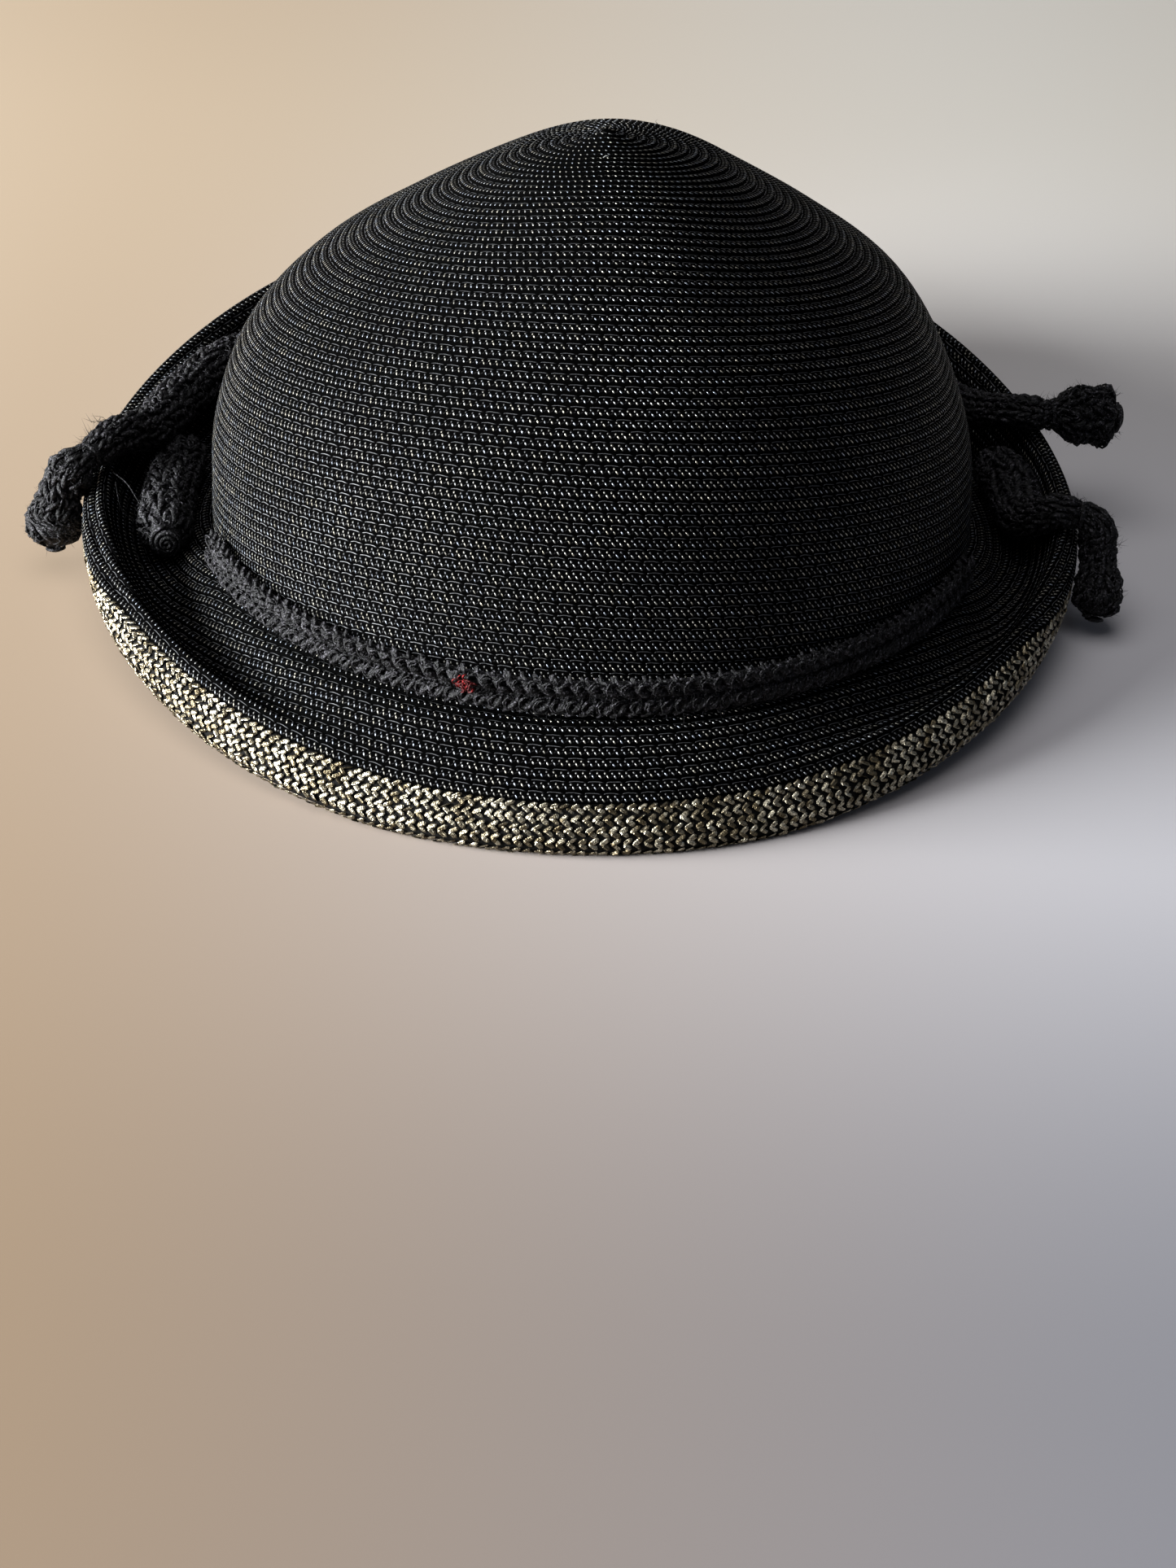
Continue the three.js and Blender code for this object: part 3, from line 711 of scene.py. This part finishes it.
def yarn_finish(name, dark, light):
    """Soft wool: lighter streaks on each ply, partly the fibres' own tone and partly painted sheen, half of them
    darkened again in patches.
    """
    finish = Finish(name)
    grain, patch = finish.cloud(2200.0, 3.0), finish.cloud(160.0, 1.0)
    # Painted sheen: the lighter streaks stand partly for light catching the plies
    colour = finish.mixed(grain.ramp(0.52, 0.70), dark, light)
    colour = finish.mixed(patch.ramp(0.50, 0.72) * 0.5, colour, dark)
    return finish.done(grain, 0.0004, 1.0, Base_Color=colour, Roughness=0.55, Specular_IOR_Level=0.2)


STRAW, GOLD, BACKING = straw_finish(), gold_finish(), backing_finish()
YARN = yarn_finish("black_wool_yarn", *BLACK_WOOL_AND_SHEEN)
RED = yarn_finish("red_wool_yarn", *RED_WOOL_AND_SHEEN)
LINT = yarn_finish("pale_lint", *PALE_LINT)


# Pieces

def straw_crown(around=250):
    """Crown: one spiral of rows from the tip to the foot outside, and a smooth wall inside."""
    sheet = dome_sheet()
    turn = circle(around)[None]
    rows = int(math.ceil(sheet.full.max() / ROW)) + 1
    mesh = Stitched()
    braid_rows(mesh, sheet, rows, ROW, STITCH, lambda q: q * ROW, around, from_tip=True)
    down = np.linspace(0, 1, 16)[:, None] * sheet.length(turn)
    inside, places = shell_side(sheet, down, turn, -WALL, ROW, STITCH, lambda d: d)
    mesh.grid(inside, places, closed=True, flipped=True)
    rim = np.stack([sheet.at(sheet.length(turn), turn)[0][0], inside[-1]])
    mesh.grid(rim, places[-2:], closed=True)
    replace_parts(mesh.build("straw_crown", STRAW, "black_straw", merge=MERGE), "crown")


def brim_sheets(around=512):
    """The middle of the brim's wall, from where the metallic rows begin inwards, and of the edge's, from there
    outwards. How far past the seam they begin grows smoothly with the angle from the near middle."""
    inner, outer = fold_meridians(around)
    whole = Sheet(np.concatenate([inner, outer[1:]]))
    away = np.abs(circle(around) * 360 - 270)
    away = np.clip((np.minimum(away, 360 - away) - NEAR_SPAN) / TURN_SPAN, 0, 1)
    seam = np.linalg.norm(np.diff(inner, axis=0), axis=-1).sum(0)
    begin = seam + CREST_SHIFT * away * away * (3 - 2 * away)
    t = np.linspace(0, 1, 400)[:, None]
    turn = circle(around)[None]
    brim = whole.at(begin * (1 - t), turn)[0]
    edge = whole.at(begin + (whole.length(turn[0]) - begin) * t, turn)[0]
    return Sheet(brim, side=-1), Sheet(edge)


def straw_brim(middle, around=512):
    """Brim: rows counted inwards from where the metallic rows begin, and a plain underside."""
    turn = circle(around)[None]
    rows = int(math.ceil(middle.full.max() / ROW)) + 1
    top = Sheet(middle.points + middle.normals * WALL / 2, side=-1)
    mesh = Stitched()
    outer, inner = braid_rows(mesh, top, rows, ROW, STITCH, lambda q: (rows - q) * ROW, around)
    down = np.linspace(0, 1, 24)[:, None] * middle.length(turn)
    under, places = shell_side(middle, down, turn, -WALL / 2, ROW, STITCH, lambda d: rows * ROW - d)
    mesh.grid(under, places, closed=True)
    mesh.grid(np.stack([outer, under[0]]), places[:2], closed=True)
    mesh.grid(np.stack([under[-1], inner]), places[-2:], closed=True)
    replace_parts(mesh.build("straw_brim", STRAW, "black_straw", merge=MERGE), "brim")


def edge_backing(top, middle, around=512):
    """The dark backing of the edge, rolled over and under: a side on each sheet, joined along both rims."""
    turn = circle(around)[None]
    mesh = Stitched()
    down = np.linspace(0, 1, 24)[:, None] * top.length(turn)
    over, above = shell_side(top, down, turn, 0.0, GOLD_ROW, GOLD_STITCH, lambda d: d)
    mesh.grid(over, above, closed=True)
    low = np.linspace(0, 1, 12)[:, None] * middle.length(turn)
    under, below = shell_side(middle, low, turn, -WALL / 2, GOLD_ROW, GOLD_STITCH, lambda d: d)
    mesh.grid(under, below, closed=True, flipped=True)
    mesh.grid(np.stack([under[0], over[0]]), below[:2], closed=True)
    mesh.grid(np.stack([over[-1], under[-1]]), below[-2:], closed=True)
    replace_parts(mesh.build("edge_backing", BACKING, "gold_braid", merge=MERGE), "edge_braid")


def gold_strands(top, fine=2048):
    """Flat metallic strands in two slanted lines a row, which meet in chevrons that point against the way round.
    Each runs t from -1 to 1 along its slant, rises in the middle, and is narrowest at its ends."""
    rng = np.random.default_rng(11)
    mesh = Stitched()
    t = np.array([-1.0, -0.62, 0.62, 1.0])
    for row in range(int(np.ceil(top.full.max() / GOLD_ROW))):
        for half, slant in ((0.30, -1), (0.70, 1)):
            distance = (row + half) * GOLD_ROW
            run = along_row(top.at(np.full(fine, distance), circle(fine))[0][None])[0]
            count = int(round(run[-1] / GOLD_STITCH))
            shuffle = rng.uniform(-1, 1, (5, count, 1))
            tilt = STRAND_TILT * rng.normal(size=(count, 1, 3))
            wanted = (np.arange(count) + 0.09 * shuffle[0][:, 0]) / count % 1
            centre = np.interp(wanted * run[-1], run, np.linspace(0, 1, fine + 1))[:, None]
            reach = STRAND_REACH * (1 + 0.12 * shuffle[1])
            sideways = centre + t * reach / run[-1]
            downwards = distance + slant * t * reach * (0.60 + 0.14 * shuffle[2]) + 0.00008 * shuffle[3]
            path, normal = top.at(downwards, sideways)
            lift = 0.00016 + 0.00020 * (1 - t * t) - 0.00010 * t * slant + 0.00010 * (1 + shuffle[4])
            path = path + normal * lift[..., None]
            wide = STRAND_WIDTH * np.maximum(1.05 - np.abs(t) ** 4, 0.30) * (1 + 0.14 * shuffle[3])
            keep = (top.length(sideways) - downwards).min(1) > 0.0002
            tubes(mesh, path[keep], wide[keep], (normal + tilt)[keep], sides=6, flat=STRAND_FLAT, phase=0.5)
    mesh.build("gold_strands", GOLD, "gold_braid", smooth=False)


def rolled_edge(middle):
    """Edge: the backing, and on its upper side the strands."""
    top = Sheet(middle.points + middle.normals * WALL * 0.3)
    edge_backing(top, middle)
    gold_strands(top)


def running_length(middle):
    """Length along a line up to each of its points."""
    return np.concatenate([[0], np.cumsum(np.linalg.norm(np.diff(middle, axis=0), axis=-1))])


def read(line, run, distance):
    """A line's vectors at distances along it, each mixed from the two nearest."""
    return np.stack([np.interp(distance, run, line[:, i]) for i in range(3)], -1)


def path_frame(route, radius, steps=400):
    """A smooth cord: its middle line, girth, and two directions across it that turn as little as they can."""
    line = through(route, np.linspace(0, len(route) - 1, steps))
    middle = line[:, :3] * 0.001 + CENTRING
    along = unit(np.gradient(middle, axis=0))
    up = unit(np.cross(np.cross(along, CORD_UP), along))
    return middle, line[:, 3] * radius, up, np.cross(along, up), running_length(middle)


def crochet_cord(name, node, route, radius, pitch, seed):
    """Crocheted cord: a dark core, and on it columns of stitches, each two legs that meet in a V along the cord.
    A coil closes each end: its turns shrink as they rise over the middle. Curls and fibres stand out all round."""
    rng = np.random.default_rng(seed)
    middle, girth, up, aside, run = path_frame(route, radius)
    whole = run[-1]
    mesh = Stitched()

    def spot(distance, turn, out):
        """The point at a distance along, a turn round and a share of the girth out, and the way out there."""
        d = np.clip(distance, 0, whole)
        a = 2 * np.pi * turn[..., None]
        way = unit(read(up, run, d) * np.cos(a) + read(aside, run, d) * np.sin(a))
        return read(middle, run, d) + way * (np.interp(d, run, girth) * out)[..., None], way

    steps, sides, core_share = max(12, int(whole / 0.0012)), 16, 0.80
    d, ring = np.linspace(0, whole, steps), circle(sides)[None]
    core = spot(np.repeat(d[:, None], sides, 1), np.repeat(ring, steps, 0), np.full((steps, sides), core_share))[0]
    ends = np.repeat(middle[[0, -1], None], sides, 1)
    core = np.concatenate([ends[:1], core, ends[1:]])
    mesh.grid(core, np.zeros((len(core), sides + 1, 2)), closed=True)

    i, column, leg = every(range(-1, int(whole / pitch) + 1), range(CORD_COLUMNS), (-1, 1))
    t = np.linspace(0, 1, 5)
    jitter = rng.uniform(-1, 1, (3, len(i), 1))
    start = (i + 0.5 * (column % 2) + 0.18 * jitter[0][:, 0])[:, None] * pitch
    distance = start + (0.05 + 1.25 * t) * pitch
    spread = leg[:, None] * (0.42 - 0.34 * t + 0.05 * jitter[1])
    turn = (column[:, None] + 0.5 + spread) / CORD_COLUMNS + 0.02 * jitter[2]
    out = core_share + 0.22 * np.sin(np.pi * np.clip(t * 0.9 + 0.08, 0, 1)) + 0.05 * jitter[1]
    path, way = spot(distance, turn, out)
    inside = ((distance > 0) & (distance < whole)).all(1)
    thick = CORD_PLY * (0.72 + 0.42 * np.sin(np.pi * t)) * (1 + 0.15 * jitter[2])
    tubes(mesh, path[inside], thick[inside], way[inside], sides=5)

    t = np.linspace(0, 1, 48)
    for end, neighbour in ((0, 1), (-1, -2)):
        axis = unit(middle[end] - middle[neighbour])
        share, turning = 1.0 - 0.92 * t, 2 * np.pi * (3.2 * t + rng.uniform())
        out = up[end] * np.cos(turning)[:, None] + aside[end] * np.sin(turning)[:, None]
        rise = axis * 0.55 * np.sqrt(1 - 0.98 * share ** 2)[:, None]
        coil = middle[end] + girth[end] * (out * share[:, None] + rise)
        fat = 0.16 * girth[end] * (1.1 - 0.4 * t)
        tubes(mesh, coil[None], fat[None], np.tile(axis, (1, len(t), 1)), sides=6)

    number = int(160 + 3400 * whole)
    d, turn = rng.uniform(0, 1, number) * whole, rng.uniform(0, 1, number)
    curls(mesh, rng, spot, d, turn, np.full(number, 0.94), 2 * np.pi * radius * 0.9, 0.0010,
          rng.uniform(0, 6.28, number), rng.uniform(2.6, 4.6, number), CORD_CURL, 0.14)
    number = int(260 + 2200 * whole)
    d, turn = rng.uniform(0, 1, number) * whole, rng.uniform(0, 1, number)
    fibres(mesh, rng, *spot(d, turn, np.full(number, 0.95)), 0.0020, FIBRE)
    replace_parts(mesh.build(name, YARN, "black_yarn"), node)


def curls(mesh, rng, spot, distance, across, out, girth, size, start, sweep, thickness, lift):
    """Small open loops of thin yarn on a surface: round a middle at a distance along and a share across, each goes
    through the sweep from its start angle, at a radius near the size, and rises by the lift halfway."""
    count, steps = len(distance), 6
    t = np.linspace(0, 1, steps)
    phi = start[:, None] + sweep[:, None] * t
    radius = size * rng.uniform(0.7, 1.2, (count, 1)) * (1 + 0.12 * rng.uniform(-1, 1, (count, steps)))
    path, way = spot(distance[:, None] + radius * np.cos(phi), across[:, None] + radius * np.sin(phi) / girth,
                     out[:, None] + lift * np.sin(np.pi * t))
    thick = thickness * (0.6 + 0.5 * np.sin(np.pi * t)) * rng.uniform(0.7, 1.2, (count, 1))
    tubes(mesh, path, thick, way, sides=4)


def fibres(mesh, rng, roots, ways, length, thickness):
    """Loose fibres: from each root a thin tapered tube goes out along its way, bent aside at random."""
    count, steps = len(roots), 5
    t = np.linspace(0, 1, steps)[:, None]
    aside = unit(np.cross(ways, rng.normal(size=(count, 3))))
    bend = unit(np.cross(ways, aside)) * rng.uniform(-0.7, 0.7, (count, 1))
    reach = (length * rng.uniform(0.35, 1.0, (count, 1)))[:, None]
    tilt = rng.uniform(0.2, 1.3, (count, 1))
    path = roots[:, None] + reach * (ways[:, None] * t + (aside * tilt)[:, None] * t + bend[:, None] * t * t)
    thick = thickness * (1.15 - t[:, 0]) * np.ones((count, 1))
    tubes(mesh, path, thick, np.repeat(bend[:, None] + 1e-4, steps, 1), sides=3)


def crochet_band():
    """Band: a dark flat core round the near half of the crown's foot, and on it a chain of stitches whose upper
    and lower legs slant to the middle, each leg of twisted plies, with curls and loose fibres."""
    rng = np.random.default_rng(5)
    angle = np.linspace(*(math.radians(a) for a in BAND_ANGLES), 240)
    middle = leaned((CROWN_WIDTH / 2) * np.cos(angle), (CROWN_LENGTH / 2) * np.sin(angle), BAND_MIDDLE)
    along = unit(np.gradient(middle, axis=0))
    up = np.broadcast_to(leaned(0, 0, 1.0) - leaned(0, 0, 0.0), along.shape)
    out = unit(np.cross(along, up))
    run = running_length(middle)
    whole = run[-1]

    def spot(distance, across, away):
        """The point at a distance along the band, a share of half its height up and a distance off the crown."""
        d = np.clip(distance, 0, whole)
        m, o, u = (read(line, run, d) for line in (middle, out, up))
        return m + u * (across * BAND_HEIGHT / 2)[..., None] + o * away[..., None], o

    mesh = Stitched()
    sides, end = 14, 0.0004
    turns = 2 * np.pi * circle(sides)
    d = np.linspace(end, whole - end, 160)
    grown = np.clip(np.minimum(d, whole - d) / 0.003, 0, 1)[:, None] ** 0.5 * 0.8 + 0.05
    core = spot(np.repeat(d[:, None], sides, 1), 0.9 * grown * np.sin(turns),
                SEAM + 0.0012 + 0.0009 * grown * np.cos(turns))[0]
    mesh.grid(core, np.zeros((len(core), sides + 1, 2)), closed=True, flipped=True)

    count, end = int(whole / BAND_PITCH), 0.0006
    i, side, ply = every(range(-1, count + 1), (-1, 1), range(BAND_PLIES))
    t = np.linspace(0, 1, 8)
    jitter = rng.uniform(-1, 1, (4, len(i), 1))
    twist = 2 * np.pi * (t * 1.1 + ply[:, None] / BAND_PLIES + 0.3 * jitter[0])
    place = i[:, None] + 0.1 * jitter[1] + 1.25 * t + (side > 0)[:, None] * 0.12
    distance = place * BAND_PITCH + 0.00045 * np.cos(twist)
    across = side[:, None] * (0.90 - 0.80 * t ** 0.9) + 0.13 * np.sin(twist)
    away = SEAM + 0.0017 + 0.0011 * np.sin(np.pi * np.clip(t * 1.05, 0, 1)) + 0.0005 * np.cos(twist + 1)
    path, way = spot(distance, across, away)
    inside = ((distance > end) & (distance < whole - end)).all(1)
    thick = BAND_PLY * (0.75 + 0.4 * np.sin(np.pi * t)) * (1 + 0.15 * jitter[3])
    tubes(mesh, path[inside], thick[inside], way[inside], sides=5)

    i, side, _ = every(range(count), (-1, 1), range(5))
    shift = rng.uniform(-1, 1, (4, len(i)))
    curls(mesh, rng, spot, 0.001 + (i + 0.45 + 0.25 * side) * BAND_PITCH + 0.0002 * shift[0],
          0.47 * side + 0.06 * shift[1], SEAM + 0.0026 + 0.0003 * shift[2], BAND_HEIGHT / 2, 0.00125,
          1.0 + 0.5 * shift[3], 4.2 + 0.6 * shift[2], BAND_CURL, 0.0007)
    number = 1500
    d, across = rng.uniform(0.001, whole - 0.001, number), rng.uniform(-0.9, 0.9, number)
    fibres(mesh, rng, *spot(d, across, np.full(number, SEAM + 0.0030)), 0.0014, FIBRE)

    red, number = Stitched(), 26
    d, across = whole * RED_PLACE[0] + rng.normal(0, 0.0007, number), RED_PLACE[1] + rng.normal(0, 0.16, number)
    curls(red, rng, spot, d, across, SEAM + 0.0032 + rng.uniform(0, 0.0006, number), BAND_HEIGHT / 2, 0.0007,
          rng.uniform(0, 6.28, number), rng.uniform(2.5, 4.5, number), RED_CURL, 0.0006)
    red.build("red_yarn_end", RED, "black_yarn")
    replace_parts(mesh.build("crochet_band", YARN, "black_yarn"), "base_band")


def loose_threads(steps=14):
    """Thin yarn ends that stand off the knots and the tip, each a smooth tube, and tufts of fibres."""
    rng = np.random.default_rng(8)
    mesh, lint = Stitched(), Stitched()
    t = np.linspace(0, 1, steps)

    def thread(onto, route, thick):
        """One smooth tube along a route."""
        path = through(np.array(route), t * (len(route) - 1)) * 0.001 + CENTRING
        tubes(onto, path[None], thick[None], np.tile(THREAD_UP, (1, steps, 1)), sides=5)

    for route, thickness in THREADS:
        thread(mesh, route, thickness * (1.05 - t))
    for place, way, number, length in TUFTS:
        roots = np.array(place) * 0.001 + CENTRING + rng.normal(0, 0.0006, (number, 3))
        fibres(mesh, rng, roots, unit(np.array(way) + rng.normal(0, 0.4, (number, 3))), length, TUFT_FIBRE)
    mesh.build("loose_threads", YARN, "black_yarn")
    thread(lint, LINT_ROUTE, np.full(steps, 0.00011))
    lint.build("pale_lint", LINT, "black_yarn")


def floor_finish():
    """Pale paper with painted light: its colour is mixed from left to right, and from near to the middle to far, so
    that it is darker near the camera as painted shade and lighter right of the middle, where painted light lifts
    the hat's shadow.
    """
    finish = Finish("floor")
    cloud = finish.cloud(2.0, 2.0)
    side, away = finish.two(finish.on_object())
    side = side.ramp(-0.14, 0.14)
    # The floor's tone by side and distance is the paper's tint with painted light and shade
    near, middle, far = (finish.mixed(side, *pair) for pair in (FLOOR_NEAR_WITH_PAINTED_SHADE, FLOOR_MIDDLE_WITH_PAINTED_LIGHT, FLOOR_FAR_WITH_PAINTED_LIGHT))
    colour = finish.mixed(away.ramp(-0.06, 0.27), middle, far)
    colour = finish.mixed(away.ramp(-0.26, 0.02), near, colour)
    colour = finish.mixed(cloud * 0.05, colour, FLOOR_CLOUD)
    return finish.done(cloud, 0.0001, 0.1, Base_Color=colour, Roughness=0.9, Specular_IOR_Level=0.0)


def show_floor_and_light(half=6.0):
    """Pale floor, a broad soft light from the left, a weaker one from above and a faint blue one from the right."""
    mesh = bpy.data.meshes.new("floor")
    mesh.from_pydata([(-half, -half, 0), (half, -half, 0), (half, half, 0), (-half, half, 0)], [], [(0, 1, 2, 3)])
    mesh.materials.append(floor_finish())
    floor = put("floor", mesh)
    for name, place, target, size, power, colour in LAMPS:
        data = bpy.data.lights.new(name, "AREA")
        data.shape, data.size, data.size_y = "RECTANGLE", size[0], size[1]
        data.energy, data.color = power, colour
        way = Vector(target) - Vector(place)
        light = put(name, data)
        light.matrix_world = Matrix.Translation(place) @ way.to_track_quat("-Z", "Y").to_matrix().to_4x4()
    world = bpy.data.worlds.new("studio")
    bpy.context.scene.world = world
    world.use_nodes = True
    background = world.node_tree.nodes["Background"]
    background.inputs[0].default_value, background.inputs[1].default_value = WORLD_COLOUR, WORLD_STRENGTH
    bpy.context.scene.view_settings.view_transform = "Standard"


brim_middle, edge_middle = brim_sheets()
straw_crown()
straw_brim(brim_middle)
rolled_edge(edge_middle)
crochet_band()
for cord in CORDS:
    crochet_cord(*cord)
loose_threads()
show_floor_and_light()
